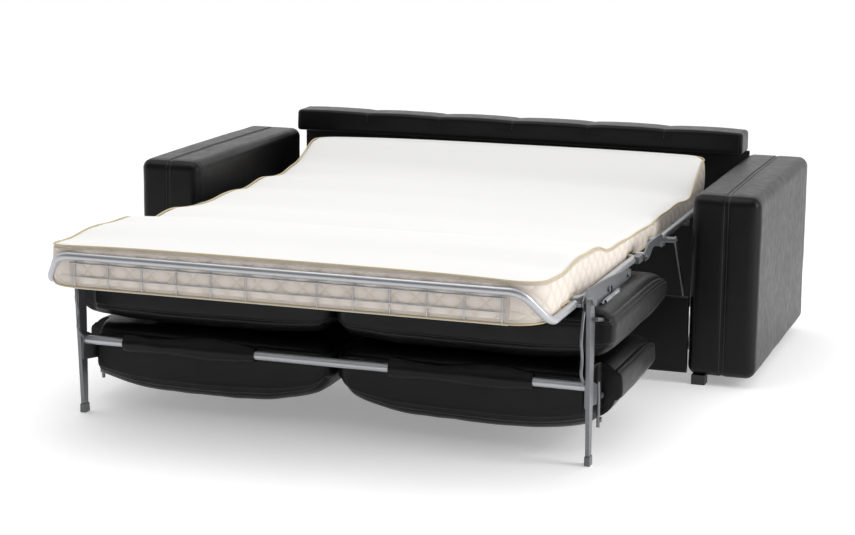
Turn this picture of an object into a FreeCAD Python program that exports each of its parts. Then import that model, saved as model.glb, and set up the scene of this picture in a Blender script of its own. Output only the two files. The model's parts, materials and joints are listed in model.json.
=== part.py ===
import FreeCAD, Part
import math
import os

from FreeCAD import Placement, Rotation, Vector

# Sleeper sofa with a pull-out bed, drawn with the bed open.
# X runs across the sofa, Y from the foot of the bed to the back of the sofa, Z up. Millimetres.
# Sizes are drawn with Y = 0 at the front faces of the arms, and datum_shift moves every piece
# so that the origin lies under the middle of the whole object, on the floor.

doc = FreeCAD.newDocument("sleeper_sofa")
sheet = doc.addObject("Spreadsheet::Sheet", "sizes")

SIZES = [
    ("datum_shift", 151),
    ("inner_half", 813.5),
    ("arm_width", 210),
    ("arm_depth", 890),
    ("arm_bottom", 30),
    ("arm_top", 590),
    ("arm_round", 28),
    ("rail_front", 823),
    ("rail_rear", 938),
    ("rail_top", 666),
    ("rail_bottom", 590),
    ("rail_length", 1616),
    ("front_rail_top", 272),
    ("front_rail_thick", 22),
    ("back_panel_thick", 12),
    ("hinge_height", 450),
    ("hinge_y", -80),
    ("knee_length", 222),
    ("leg_pivot_y", -933),
    ("foot_hinge_y", -960),
    ("frame_half", 722),
    ("tube_radius", 11),
    ("head_end", 745),
    ("link_length", 500),
    ("link_rise_deg", 44.9),
    ("link_front_y", 520),
    ("link_rear_y", 690),
    ("link_thick", 5),
    ("mattress_half", 700),
    ("net_z", 424),
    ("mattress_low", 427),
    ("mattress_mid_top", 504),
    ("foot_rail_y", -1229),
    ("foot_rail_z", 528),
    ("rail_tube_radius", 11),
    ("leg_half", 750),
    ("leg_thick", 11),
    ("cross_tube_z", 216),
    ("cross_tube_radius", 12.5),
    ("sleeve_radius", 21),
    ("seat_front", -205),
    ("seat_rear", -888),
    ("seat_low", 262),
    ("seat_high", 411),
    ("back_low", 72),
    ("back_high", 250),
    ("back_bottom_end", -882),
    ("back_top_end", -312),
    ("cushion_half", 800),
    ("back_pivot_y", -793),
    ("back_pivot_z", 162),
]
for row, (name, value) in enumerate(SIZES, start=1):
    sheet.set(f"A{row}", name)
    sheet.set(f"B{row}", str(value))
    sheet.setAlias(f"B{row}", name)
doc.recompute()

S = {name: float(sheet.get(name)) for name, value in SIZES}
PIN_PLAY = 0.05


def finish(piece, label, move=(0, 0, 0)):
    """Gives a piece its label and its place, moved on by the datum shift."""
    own = piece.Placement
    shift = Vector(move[0], move[1] + S["datum_shift"], move[2])
    piece.Label = label
    piece.Placement = Placement(own.Base + shift, own.Rotation)
    piece.setExpression("Placement.Base.y", f"sizes.datum_shift + {own.Base.y + move[1]}")
    return piece


def rounded(points, radius):
    """A closed outline of straight runs whose corners are arcs. radius is one number or one per corner."""
    count = len(points)
    radii = radius if isinstance(radius, (list, tuple)) else [radius] * count
    corners = []
    for i, (point, r) in enumerate(zip(points, radii)):
        here = Vector(point[0], point[1], 0)
        before = Vector(*points[i - 1], 0) - here
        after = Vector(*points[(i + 1) % count], 0) - here
        before.normalize()
        after.normalize()
        half = before.getAngle(after) / 2
        if r <= 0:
            corners.append((here, None, here))
            continue
        back = r / math.tan(half)
        middle = before + after
        middle.normalize()
        centre = here + middle * (r / math.sin(half))
        corners.append((here + before * back, centre - middle * r, here + after * back))
    edges = []
    for i, (start, middle, end) in enumerate(corners):
        if middle is not None:
            edges.append(Part.Arc(start, middle, end))
        leave = corners[(i + 1) % count][0]
        if end.distanceToPoint(leave) > 1e-6:
            edges.append(Part.LineSegment(end, leave))
    return edges


def plane_of(body, role):
    return next(f for f in body.Origin.OriginFeatures if f.Role == role)


def sketch_on(body, role, edges, name, offset=0.0):
    sketch = body.newObject("Sketcher::SketchObject", name)
    sketch.AttachmentSupport = [(plane_of(body, role), "")]
    sketch.MapMode = "FlatFace"
    sketch.AttachmentOffset = Placement(Vector(0, 0, offset), Rotation())
    for edge in edges:
        sketch.addGeometry(edge, False)
    return sketch


def pad(body, sketch, length, name="Pad"):
    feature = body.newObject("PartDesign::Pad", name)
    feature.Profile = sketch
    feature.Midplane = True
    if isinstance(length, str):
        feature.setExpression("Length", length)
    else:
        feature.Length = length
    sketch.Visibility = False
    return feature


def prism(label, role, edges, length, move=(0, 0, 0), offset=0.0):
    """A body padded both ways from a sketch on one of its own planes."""
    body = doc.addObject("PartDesign::Body", label)
    sketch = sketch_on(body, role, edges, label + "_outline", offset)
    pad(body, sketch, length, label + "_pad")
    finish(body, label, move)
    return body


def circle(y, z, radius):
    return Part.Circle(Vector(y, z, 0), Vector(0, 0, 1), radius)


def feature(label, shape, move=(0, 0, 0)):
    """A piece whose shape comes from Part's own functions."""
    piece = doc.addObject("Part::Feature", label)
    piece.Shape = shape
    return finish(piece, label, move)


def shape_of(label):
    """A piece's shape in the drawing frame, without the datum shift."""
    return doc.getObjectsByLabel(label)[0].Shape.translated(Vector(0, -S["datum_shift"], 0))


def tube_path(points, radii):
    """A wire of straight runs joined by tangent arcs, through points in space."""
    edges = []
    last = points[0]
    for i in range(1, len(points) - 1):
        here = points[i]
        before = points[i - 1] - here
        after = points[i + 1] - here
        before.normalize()
        after.normalize()
        half = before.getAngle(after) / 2
        r = radii[i - 1]
        back = r / math.tan(half)
        middle = before + after
        middle.normalize()
        centre = here + middle * (r / math.sin(half))
        start, end = here + before * back, here + after * back
        edges.append(Part.LineSegment(last, start).toShape())
        edges.append(Part.Arc(start, centre - middle * r, end).toShape())
        last = end
    edges.append(Part.LineSegment(last, points[-1]).toShape())
    return Part.Wire(edges)


def tube_along(points, radii, radius):
    """A round bar along straight runs and arcs."""
    path = tube_path(points, radii)
    start = points[0]
    direction = points[1] - start
    ring = Part.Wire([Part.Circle(start, direction, radius).toShape()])
    return path.makePipeShell([ring], True, False)


def cylinder_x(y, z, radius, x0, x1):
    return Part.makeCylinder(radius, x1 - x0, Vector(x0, y, z), Vector(1, 0, 0))


# Arms: padded boxes with soft edges.
for side, sign in (("left", -1), ("right", 1)):
    body = doc.addObject("PartDesign::Body", f"arm_{side}")
    half = S["arm_width"] / 2
    outline = rounded(
        [(-half, S["arm_bottom"]), (half, S["arm_bottom"]), (half, S["arm_top"]), (-half, S["arm_top"])],
        S["arm_round"],
    )
    sketch = sketch_on(body, "XZ_Plane", outline, f"arm_{side}_outline", -S["arm_depth"] / 2)
    arm_pad = pad(body, sketch, "sizes.arm_depth", f"arm_{side}_pad")
    doc.recompute()
    ends = [
        f"Edge{i}"
        for i, edge in enumerate(arm_pad.Shape.Edges, start=1)
        if edge.BoundBox.YLength < 1
    ]
    soft = body.newObject("PartDesign::Fillet", f"arm_{side}_soft_edges")
    soft.Base = (arm_pad, ends)
    soft.Radius = 20
    body.Tip = soft
    finish(body, f"arm_{side}", (sign * (S["inner_half"] + half), 0, 0))

# Back rail: a padded top band in six sewn segments, and a thin panel below it that leaves room
# for the folded bed.
back_rail = prism(
    "back_rail",
    "YZ_Plane",
    rounded(
        [
            (S["rail_front"], S["rail_bottom"]),
            (S["rail_rear"], S["rail_bottom"]),
            (S["rail_rear"], S["rail_top"]),
            (S["rail_front"], S["rail_top"]),
        ],
        [6, 6, 14, 14],
    ),
    "sizes.rail_length",
)
SEGMENTS = 6
seam_lines = []
for i in range(1, SEGMENTS):
    x = S["rail_length"] * (i / SEGMENTS - 0.5)
    seam_lines += rounded([(x - 3, S["rail_top"] + 1), (x, S["rail_top"] - 4), (x + 3, S["rail_top"] + 1)], 0)
seams = back_rail.newObject("PartDesign::Pocket", "back_rail_seams")
seams.Profile = sketch_on(back_rail, "XZ_Plane", seam_lines, "back_rail_seam_lines", -S["rail_rear"])
seams.Type = "ThroughAll"
seams.Midplane = True
back_rail.Tip = seams
prism(
    "back_panel",
    "YZ_Plane",
    rounded(
        [
            (S["rail_rear"] - S["back_panel_thick"], S["arm_bottom"]),
            (S["rail_rear"], S["arm_bottom"]),
            (S["rail_rear"], S["rail_bottom"]),
            (S["rail_rear"] - S["back_panel_thick"], S["rail_bottom"]),
        ],
        [6, 6, 0, 0],
    ),
    "2 * sizes.inner_half",
)
prism(
    "front_rail",
    "YZ_Plane",
    rounded(
        [
            (0, S["arm_bottom"] + 5),
            (S["front_rail_thick"], S["arm_bottom"] + 5),
            (S["front_rail_thick"], S["front_rail_top"]),
            (0, S["front_rail_top"]),
        ],
        8,
    ),
    "2 * sizes.inner_half",
)

# Sofa feet: four square blocks under the arms, two at the front just inside the arms.
feet = []
for sign in (-1, 1):
    for y in (30, 850):
        feet.append(Part.makeBox(42, 42, S["arm_bottom"], Vector(sign * 850 - 21, y - 21, 0)))
feature("sofa_feet", Part.makeCompound(feet))

# Base: a steel side rail and a pivot plate on the inside of each arm.
RISE = math.radians(S["link_rise_deg"])
LINK_DY = S["link_length"] * math.cos(RISE)
LINK_Z = S["hinge_height"] - 12
BASE_Z = LINK_Z - S["link_length"] * math.sin(RISE)
BASE_FRONT_Y = S["link_front_y"] - LINK_DY
BASE_REAR_Y = S["link_rear_y"] - LINK_DY
PLATE_X = 806
LINK_X = {"front": 786, "rear": 797}
for side, sign in (("left", -1), ("right", 1)):
    prism(
        f"base_plate_{side}",
        "YZ_Plane",
        rounded(
            [
                (60, 40),
                (760, 40),
                (760, 90),
                (BASE_REAR_Y + 80, 100),
                (BASE_REAR_Y + 40, BASE_Z + 60),
                (BASE_FRONT_Y - 40, BASE_Z + 60),
                (60, 100),
            ],
            [4, 4, 10, 30, 22, 22, 10],
        ),
        5,
        (sign * (PLATE_X + 5), 0, 0),
    )

pins = []
for sign in (-1, 1):
    for end, y in (("front", BASE_FRONT_Y), ("rear", BASE_REAR_Y)):
        inner, outer = sorted((sign * (LINK_X[end] - 5), sign * (PLATE_X + 2.5)))
        pins.append(cylinder_x(y, BASE_Z, 6, inner, outer))
feature("base_pivot_pins", Part.makeCompound(pins))


def link_shape(y0, z0, y1, z1, wide, thick, hole, x):
    """A flat bar with round ends and a hole in each, standing across X."""
    length = math.hypot(y1 - y0, z1 - z0)
    bar = Part.makeBox(thick, length, wide, Vector(-thick / 2, 0, -wide / 2))
    for y in (0, length):
        bar = bar.fuse(Part.makeCylinder(wide / 2, thick, Vector(-thick / 2, y, 0), Vector(1, 0, 0)))
    for y in (0, length):
        bar = bar.cut(
            Part.makeCylinder(hole, thick + 2, Vector(-thick / 2 - 1, y, 0), Vector(1, 0, 0))
        )
    bar = bar.removeSplitter()
    bar.Placement = Placement(
        Vector(x, y0, z0), Rotation(Vector(1, 0, 0), math.degrees(math.atan2(z1 - z0, y1 - y0)))
    )
    return bar


for end, base_y, top_y in (
    ("front", BASE_FRONT_Y, S["link_front_y"]),
    ("rear", BASE_REAR_Y, S["link_rear_y"]),
):
    for side, sign in (("left", -1), ("right", 1)):
        feature(
            f"lift_link_{end}_{side}",
            link_shape(base_y, BASE_Z, top_y, LINK_Z, 30, S["link_thick"], 6 + PIN_PLAY, sign * LINK_X[end]),
        )

# Head and middle frame: a tube loop on the lift links, with a net.
H = S["hinge_height"]
R = S["tube_radius"]


def loop_frame(y_front, y_rear, radius_front, radius_rear, cross):
    """A rectangular tube loop in the plane of the bed, with cross tubes."""
    half = S["frame_half"]
    points = [
        Vector(0, y_rear, H),
        Vector(half, y_rear, H),
        Vector(half, y_front, H),
        Vector(-half, y_front, H),
        Vector(-half, y_rear, H),
        Vector(0, y_rear, H),
    ]
    radii = [radius_rear, radius_front, radius_front, radius_rear]
    path = tube_path(points, radii)
    ring = Part.Wire([Part.Circle(points[0], Vector(1, 0, 0), R).toShape()])
    shape = path.makePipeShell([ring], True, False)
    for y in cross:
        strap = Part.makeBox(2 * half, 26, 4, Vector(-half, y - 13, S["net_z"] - 4))
        tabs = [
            Part.makeBox(4, 26, H - S["net_z"] + 4, Vector(x, y - 13, S["net_z"] - 4))
            for x in (-half - 2, half - 2)
        ]
        shape = shape.fuse([strap] + tabs)
    return shape.removeSplitter()


HEAD_FRONT = S["hinge_y"] + 22
feature("head_frame", loop_frame(HEAD_FRONT, S["head_end"], 30, 60, [110, 400, 640]))

lugs = []
for sign in (-1, 1):
    for end, y in (("front", S["link_front_y"]), ("rear", S["link_rear_y"])):
        inner, outer = sorted((sign * (S["frame_half"] + R - 4), sign * (LINK_X[end] - 4)))
        block = Part.makeBox(
            outer - inner, 26, 26, Vector(inner, y - 13, LINK_Z - 13)
        )
        pin = cylinder_x(y, LINK_Z, 6, *sorted((sign * (LINK_X[end] - 5), sign * (LINK_X[end] + 5))))
        lugs.append(block.fuse(pin).removeSplitter())
feature("lift_lugs", Part.makeCompound([lug.cut(shape_of("head_frame")) for lug in lugs]))


def net(y0, y1, x_half, nx, ny, z, thick, wire):
    """A flat wire net as one holed face."""
    outer = Part.makePolygon(
        [
            Vector(-x_half, y0, z),
            Vector(x_half, y0, z),
            Vector(x_half, y1, z),
            Vector(-x_half, y1, z),
            Vector(-x_half, y0, z),
        ]
    )
    dx = (2 * x_half - wire) / nx
    dy = (y1 - y0 - wire) / ny
    holes = []
    for i in range(nx):
        for j in range(ny):
            ax = -x_half + wire + i * dx
            ay = y0 + wire + j * dy
            bx, by = ax + dx - wire, ay + dy - wire
            holes.append(
                Part.makePolygon(
                    [
                        Vector(ax, ay, z),
                        Vector(bx, ay, z),
                        Vector(bx, by, z),
                        Vector(ax, by, z),
                        Vector(ax, ay, z),
                    ]
                )
            )
    face = Part.makeFace([outer] + holes, "Part::FaceMakerBullseye")
    return face.extrude(Vector(0, 0, thick))


NET_X = S["frame_half"] - R
feature("head_net", net(HEAD_FRONT + R, S["head_end"] - R, NET_X - 9, 14, 8, S["net_z"], 3, 3))

# Knee links: bowed bars that carry the seat frame and stand upright when the sofa is closed.
# Their lower edge rises near the head hinge, so that they swing over the front rail.
KNEE_X = 746
FOLD = S["hinge_y"]
SEAT_FOLD = FOLD - S["knee_length"]
for side, sign in (("left", -1), ("right", 1)):
    prism(
        f"knee_link_{side}",
        "YZ_Plane",
        rounded(
            [
                (SEAT_FOLD - 13, H - 12),
                (SEAT_FOLD + 46, H - 12),
                (SEAT_FOLD + 88, H + 11),
                (FOLD - 32, H + 11),
                (FOLD - 11, H - 11),
                (FOLD + 11, H - 11),
                (FOLD + 11, H + 12),
                (FOLD - 24, H + 34),
                (SEAT_FOLD + 40, H + 34),
                (SEAT_FOLD - 13, H + 12),
            ],
            [12, 30, 30, 12, 10, 10, 12, 26, 50, 12],
        )
        + [circle(y, H, 6 + PIN_PLAY) for y in (SEAT_FOLD, FOLD)],
        5,
        (sign * KNEE_X, 0, 0),
    )


def hinge_lug(y, sign, reach):
    """A welded lug with the pin that the knee link turns on."""
    inner, outer = sorted((sign * S["frame_half"], sign * (KNEE_X - 3)))
    low, high = sorted((y, y + reach))
    block = Part.makeBox(outer - inner, high - low, 20, Vector(inner, low, H - 10))
    boss = cylinder_x(y, H, 10, inner, outer)
    pin = cylinder_x(y, H, 6, *sorted((sign * (KNEE_X - 4), sign * (KNEE_X + 6))))
    return block.fuse([boss, pin]).removeSplitter()


head_lugs = [hinge_lug(FOLD, sign, 60).cut(shape_of("head_frame")) for sign in (-1, 1)]
feature("head_hinge_lugs", Part.makeCompound(head_lugs))

# Seat frame: the loop under the foot half of the mattress, over the seat cushions.
SEAT_FRONT = SEAT_FOLD - 22
SEAT_END = S["leg_pivot_y"] + 6
feature("seat_frame", loop_frame(SEAT_END, SEAT_FRONT, 45, 30, [-800, -610, -420]))
seat_lugs = [hinge_lug(SEAT_FOLD, sign, -60).cut(shape_of("seat_frame")) for sign in (-1, 1)]
feature("seat_hinge_lugs", Part.makeCompound(seat_lugs))
feature("seat_net", net(SEAT_END + R, SEAT_FRONT - R, NET_X - 9, 14, 6, S["net_z"], 3, 3))

# Knee cross rod: joins the two knee links and carries the mattress over them.
feature("knee_cross_rod", cylinder_x(SEAT_FOLD + 30, H + 2, 6, -(KNEE_X - 2.5), KNEE_X - 2.5))

# Gusset plates beside the seat frame, with the leg pivots.
GUSSET_X = 735
for side, sign in (("left", -1), ("right", 1)):
    prism(
        f"gusset_{side}",
        "YZ_Plane",
        rounded(
            [
                (-905, 478),
                (-965, 450),
                (-935, 425),
                (-700, 398),
                (-640, 384),
                (-600, 398),
                (-430, 420),
                (-430, 440),
                (-650, 462),
            ],
            [14, 12, 10, 20, 10, 12, 8, 8, 60],
        )
        + [circle(-655, 424, 13)],
        4,
        (sign * GUSSET_X, 0, 0),
    )

leg_pins = [
    cylinder_x(
        S["leg_pivot_y"], H - 2, 5, *sorted((sign * (GUSSET_X + 2), sign * (S["leg_half"] + 10)))
    )
    for sign in (-1, 1)
]
feature("leg_pivot_pins", Part.makeCompound(leg_pins))

# Legs: flattened tubes that taper to the floor, with a cross tube between them.
for side, sign in (("left", -1), ("right", 1)):
    y, z = S["leg_pivot_y"], H - 2
    prism(
        f"leg_{side}",
        "YZ_Plane",
        rounded(
            [
                (y - 15, z + 15),
                (y - 17, z - 60),
                (-928, 26),
                (-904, 26),
                (y + 34, z - 60),
                (y + 17, z + 15),
            ],
            [12, 60, 3, 3, 60, 12],
        )
        + [circle(y, z, 5 + PIN_PLAY)],
        "sizes.leg_thick",
        (sign * S["leg_half"], 0, 0),
    )
    prism(
        f"leg_cap_{side}",
        "YZ_Plane",
        rounded([(-931, 0), (-899, 0), (-902, 26), (-930, 26)], [4, 4, 0, 0]),
        15,
        (sign * S["leg_half"], 0, 0),
    )
inner_leg = S["leg_half"] - S["leg_thick"] / 2
feature(
    "cross_tube",
    cylinder_x(-916, S["cross_tube_z"], S["cross_tube_radius"], -inner_leg + 4, inner_leg - 4),
)
for side, x0, x1 in (("left", -618, -212), ("right", 186, 595)):
    sleeve = cylinder_x(-916, S["cross_tube_z"], S["sleeve_radius"], x0, x1).cut(
        cylinder_x(-916, S["cross_tube_z"], S["cross_tube_radius"] + PIN_PLAY, x0 - 1, x1 + 1)
    )
    feature(f"tube_sleeve_{side}", sleeve)

# Brackets that carry the back cushions on the legs.
for side, sign in (("left", -1), ("right", 1)):
    prism(
        f"cushion_bracket_{side}",
        "YZ_Plane",
        rounded(
            [(-934, 236), (-905, 236), (-772, 178), (-772, 142), (-812, 142), (-934, 160)],
            [6, 20, 14, 14, 20, 6],
        )
        + [circle(S["back_pivot_y"], S["back_pivot_z"], 6 + PIN_PLAY)],
        4,
        (sign * (inner_leg - 2), 0, 0),
    )


# Spring pins: two on each gusset plate, for the leg spring.
SPRING_Z = 414
spring_pins = []
for sign in (-1, 1):
    for y in (-780, -600):
        spring_pins.append(
            cylinder_x(y, SPRING_Z, 3, *sorted((sign * (GUSSET_X + 2), sign * (GUSSET_X + 16))))
        )
feature("spring_pins", Part.makeCompound(spring_pins))


# Soft forms.
def pillow_section(x, y0, y1, z0, z1, crown, corner):
    """A closed section across X: four crowned sides with round corners."""
    def at(y, z):
        return Vector(x, y, z)

    ym, zm = (y0 + y1) / 2, (z0 + z1) / 2
    k = corner * 0.29
    arcs = [
        (at(y0 + corner, z0), at(ym, z0 - crown[2]), at(y1 - corner, z0)),
        (at(y1 - corner, z0), at(y1 - k, z0 + k), at(y1, z0 + corner)),
        (at(y1, z0 + corner), at(y1 + crown[1], zm), at(y1, z1 - corner)),
        (at(y1, z1 - corner), at(y1 - k, z1 - k), at(y1 - corner, z1)),
        (at(y1 - corner, z1), at(ym, z1 + crown[3]), at(y0 + corner, z1)),
        (at(y0 + corner, z1), at(y0 + k, z1 - k), at(y0, z1 - corner)),
        (at(y0, z1 - corner), at(y0 - crown[0], zm), at(y0, z0 + corner)),
        (at(y0, z0 + corner), at(y0 + k, z0 + k), at(y0 + corner, z0)),
    ]
    return Part.Wire([Part.Arc(*arc).toShape() for arc in arcs])


def pillow(x0, x1, y0, y1, z0, z1, crown, corner, draw):
    """A crowned cushion: sections across X that draw in at both ends."""
    middle = (x0 + x1) / 2
    sections = [(x0, draw), (x0 + 12, draw * 0.5), (x0 + 38, draw * 0.15), (x0 + 110, 0), (middle, -2)]
    sections += [(x0 + x1 - x, inset) for x, inset in reversed(sections[:-1])]
    wires = [
        pillow_section(x, y0 + i, y1 - i, z0 + i, z1 - i, [c * (1 - i / (2 * draw)) for c in crown], corner - i)
        for x, i in sections
    ]
    return Part.makeLoft(wires, True, True)


HALF = S["cushion_half"]
SPLIT = 3
seat_board = Part.makeBox(2 * 690, 640, 9, Vector(-690, -880, 411))
feature("seat_board", seat_board)
for side, x0, x1 in (("left", -HALF, -SPLIT), ("right", SPLIT, HALF)):
    step_x = min(math.copysign(731, x0 + x1), math.copysign(811, x0 + x1))
    step = Part.makeBox(80, 800, 60, Vector(step_x, -950, 381))
    feature(
        f"seat_cushion_{side}",
        pillow(
            x0, x1, S["seat_rear"] + 4, S["seat_front"] - 10, S["seat_low"] + 12, S["seat_high"],
            [3, 10, 12, 1], 45, 18,
        ).cut([seat_board, step]),
    )
    cushion = pillow(
        x0, x1, S["back_bottom_end"] + 4, S["back_top_end"] - 6, S["back_low"] + 12, S["back_high"] - 6,
        [3, 6, 12, 5], 60, 20,
    )
    slot_x = sorted((math.copysign(737, x0 + x1), math.copysign(761, x0 + x1)))
    slot = Part.makeBox(slot_x[1] - slot_x[0], 138, 300, Vector(slot_x[0], -900, 0))
    feature(f"back_cushion_{side}", cushion.cut(slot))

back_pins = [
    cylinder_x(S["back_pivot_y"], S["back_pivot_z"], 6, *sorted((sign * 737, sign * (inner_leg + 1.5))))
    for sign in (-1, 1)
]
feature("back_pivot_pins", Part.makeCompound(back_pins))


def mattress(label, outline, radii):
    body = doc.addObject("PartDesign::Body", label)
    sketch = sketch_on(body, "YZ_Plane", rounded(outline, radii), label + "_outline")
    pad(body, sketch, "2 * sizes.mattress_half", label + "_pad")
    return finish(body, label)


LOW = S["mattress_low"]
OVER = H + R + 1
TOP = S["mattress_mid_top"]
RISE_TOP = TOP - H
mattress(
    "mattress_head",
    [
        (FOLD + 16, OVER), (FOLD + 40, OVER), (FOLD + 60, LOW), (700, LOW), (722, OVER), (775, OVER),
        (777, 552), (640, 548), (528, 492), (150, TOP), (FOLD + RISE_TOP + 4, TOP),
    ],
    [2, 6, 6, 6, 6, 10, 26, 60, 90, 200, 10],
)
mattress(
    "mattress_knee",
    [
        (SEAT_FOLD + 12, H + 8), (FOLD - 12, H + 8),
        (FOLD - RISE_TOP - 4, TOP), (SEAT_FOLD + RISE_TOP + 4, TOP),
    ],
    [2, 2, 10, 10],
)
mattress(
    "mattress_seat",
    [
        (-948, OVER), (-914, OVER), (-888, LOW), (SEAT_FOLD - 60, LOW), (SEAT_FOLD - 40, OVER),
        (SEAT_FOLD - 16, OVER), (SEAT_FOLD - RISE_TOP - 4, TOP), (-520, 519), (-700, 545), (-948, 545),
    ],
    [6, 6, 6, 6, 6, 2, 10, 120, 120, 8],
)
foot_outline = rounded([(-700, -1204), (700, -1204), (700, -964), (-700, -964)], [80, 80, 4, 4])
foot_top = 541
foot_low = 452
prism("mattress_foot", "XY_Plane", foot_outline, foot_top - foot_low, (0, 0, (foot_top + foot_low) / 2))

# Foot frame: side tubes that turn in and rise to the foot rail, and a wire net.
FH = S["foot_hinge_y"]
FX = S["frame_half"] - 11
rail_y, rail_z = S["foot_rail_y"], S["foot_rail_z"]
FOOT_Z = H - 6
points = [
    Vector(-FX, FH + 11, FOOT_Z),
    Vector(-FX, -1165, FOOT_Z - 2),
    Vector(-FX + 62, rail_y, rail_z),
    Vector(FX - 62, rail_y, rail_z),
    Vector(FX, -1165, FOOT_Z - 2),
    Vector(FX, FH + 11, FOOT_Z),
]
rail = tube_along(points, [60, 60, 60, 60], S["rail_tube_radius"])
rail = rail.cut([cylinder_x(FH, FOOT_Z, 5 + PIN_PLAY, *sorted((sign * 690, sign * 735))) for sign in (-1, 1)])
feature("foot_rail", rail)
feature(
    "foot_hinge_pins",
    Part.makeCompound(
        [cylinder_x(FH, FOOT_Z, 5, *sorted((sign * 698, sign * (GUSSET_X - 2)))) for sign in (-1, 1)]
    ),
)

foot_net = net(425, 524, 602, 12, 3, 0, 4, 4)
foot_net.Placement = Placement(Vector(0, rail_y + 2, 0), Rotation(Vector(1, 0, 0), 90))
feature("foot_net", foot_net.cut(rail))
feature("foot_cross_bar", cylinder_x(-1010, FOOT_Z, 8, -(FX - 4), FX - 4).cut(rail))

# Stays: props that stand between the front of the head frame and the base when the bed is open.
STAY_X = 762
STAY_TOP = (33, 440)
STAY_FOOT = (182, 239)
stay_lugs = []
for side, sign in (("left", -1), ("right", 1)):
    feature(
        f"stay_{side}",
        link_shape(*STAY_TOP, *STAY_FOOT, 22, 5, 5 + PIN_PLAY, sign * STAY_X),
    )
    inner, outer = sorted((sign * (S["frame_half"] + 2), sign * (STAY_X - 3)))
    boss = cylinder_x(*STAY_TOP, 9, inner, outer)
    pin = cylinder_x(*STAY_TOP, 5, *sorted((sign * (STAY_X - 4), sign * (STAY_X + 6))))
    stay_lugs.append(boss.fuse(pin).removeSplitter().cut(shape_of("head_frame")))
feature("stay_lugs", Part.makeCompound(stay_lugs))
doc.recompute()

problems = []
NODES = [
    obj
    for obj in doc.Objects
    if obj.TypeId in ("PartDesign::Body", "Part::Feature") and obj.getParentGeoFeatureGroup() is None
]
for obj in doc.Objects:
    if "Invalid" in obj.State or "Error" in obj.State:
        problems.append(f"{obj.Label}: {obj.State}")
for obj in NODES:
    if obj.Shape.isNull() or not obj.Shape.isValid():
        problems.append(f"{obj.Label}: shape not valid")
if problems:
    raise RuntimeError("; ".join(problems))

os.makedirs("parts", exist_ok=True)
for obj in NODES:
    obj.Shape.exportStep(f"parts/{obj.Label}.step")
    box = obj.Shape.BoundBox
    low = [round(v) for v in (box.XMin, box.YMin, box.ZMin)]
    high = [round(v) for v in (box.XMax, box.YMax, box.ZMax)]
    print(obj.Label, len(obj.Shape.Solids), round(obj.Shape.Volume / 1000), low, high)
print(len(NODES), "pieces")
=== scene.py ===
# %% [markdown]
# # A sleeper sofa with its bed pulled out
# The CAD model gives the frame: steel tubes, links, arms and plain cushions, each on a body that a
# joint can move. This lesson dresses it. Soft pieces are built as formulas over a grid, small repeats
# such as stitches and bolts go through one Geometry Nodes tree, and every finish is procedural.

# %%
import json
import math

import bpy
import numpy as np
from mathutils import Matrix, Vector, noise

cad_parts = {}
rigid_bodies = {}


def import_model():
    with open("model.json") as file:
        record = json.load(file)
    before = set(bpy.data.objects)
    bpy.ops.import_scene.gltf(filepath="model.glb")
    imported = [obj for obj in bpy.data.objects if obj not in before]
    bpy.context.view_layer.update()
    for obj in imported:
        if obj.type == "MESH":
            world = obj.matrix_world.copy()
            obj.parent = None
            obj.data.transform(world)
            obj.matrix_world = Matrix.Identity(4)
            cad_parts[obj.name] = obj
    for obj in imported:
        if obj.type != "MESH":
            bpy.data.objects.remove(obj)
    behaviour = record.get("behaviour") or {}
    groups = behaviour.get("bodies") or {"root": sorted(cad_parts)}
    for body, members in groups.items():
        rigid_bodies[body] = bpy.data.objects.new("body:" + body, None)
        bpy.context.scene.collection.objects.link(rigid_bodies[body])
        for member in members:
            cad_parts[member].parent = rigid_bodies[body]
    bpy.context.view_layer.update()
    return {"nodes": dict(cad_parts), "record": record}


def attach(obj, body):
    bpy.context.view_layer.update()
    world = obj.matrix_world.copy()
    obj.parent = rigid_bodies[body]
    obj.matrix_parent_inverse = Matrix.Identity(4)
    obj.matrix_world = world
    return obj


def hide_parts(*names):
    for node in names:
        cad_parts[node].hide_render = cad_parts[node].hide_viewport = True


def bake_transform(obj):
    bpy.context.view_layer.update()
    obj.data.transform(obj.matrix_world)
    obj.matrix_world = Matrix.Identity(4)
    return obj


for old in list(bpy.data.objects):
    bpy.data.objects.remove(old)
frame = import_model()
# Lengths along the bed are drawn from the arm fronts; the frame's own zero lies this far ahead of them.
SHIFT = 0.151
RECORD = frame["record"]

# %% [markdown]
# ## Shader values with plain arithmetic
# `Value` wraps a socket, so that a pattern reads as a formula and not as a list of nodes.

# %%


class Value:
    """A shader socket that adds, multiplies and takes sines."""

    def __init__(self, tree, socket):
        self.tree = tree
        self.socket = socket

    def math(self, operation, other=None):
        node = self.tree.nodes.new("ShaderNodeMath")
        node.operation = operation
        self.tree.links.new(self.socket, node.inputs[0])
        if isinstance(other, Value):
            self.tree.links.new(other.socket, node.inputs[1])
        elif other is not None:
            node.inputs[1].default_value = other
        return Value(self.tree, node.outputs[0])

    def __add__(self, other):
        return self.math("ADD", other)

    def __sub__(self, other):
        return self.math("SUBTRACT", other)

    def __mul__(self, other):
        return self.math("MULTIPLY", other)

    def sine(self):
        return self.math("SINE")

    def size(self):
        return self.math("ABSOLUTE")

    def power(self, exponent):
        return self.math("POWER", exponent)


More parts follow.
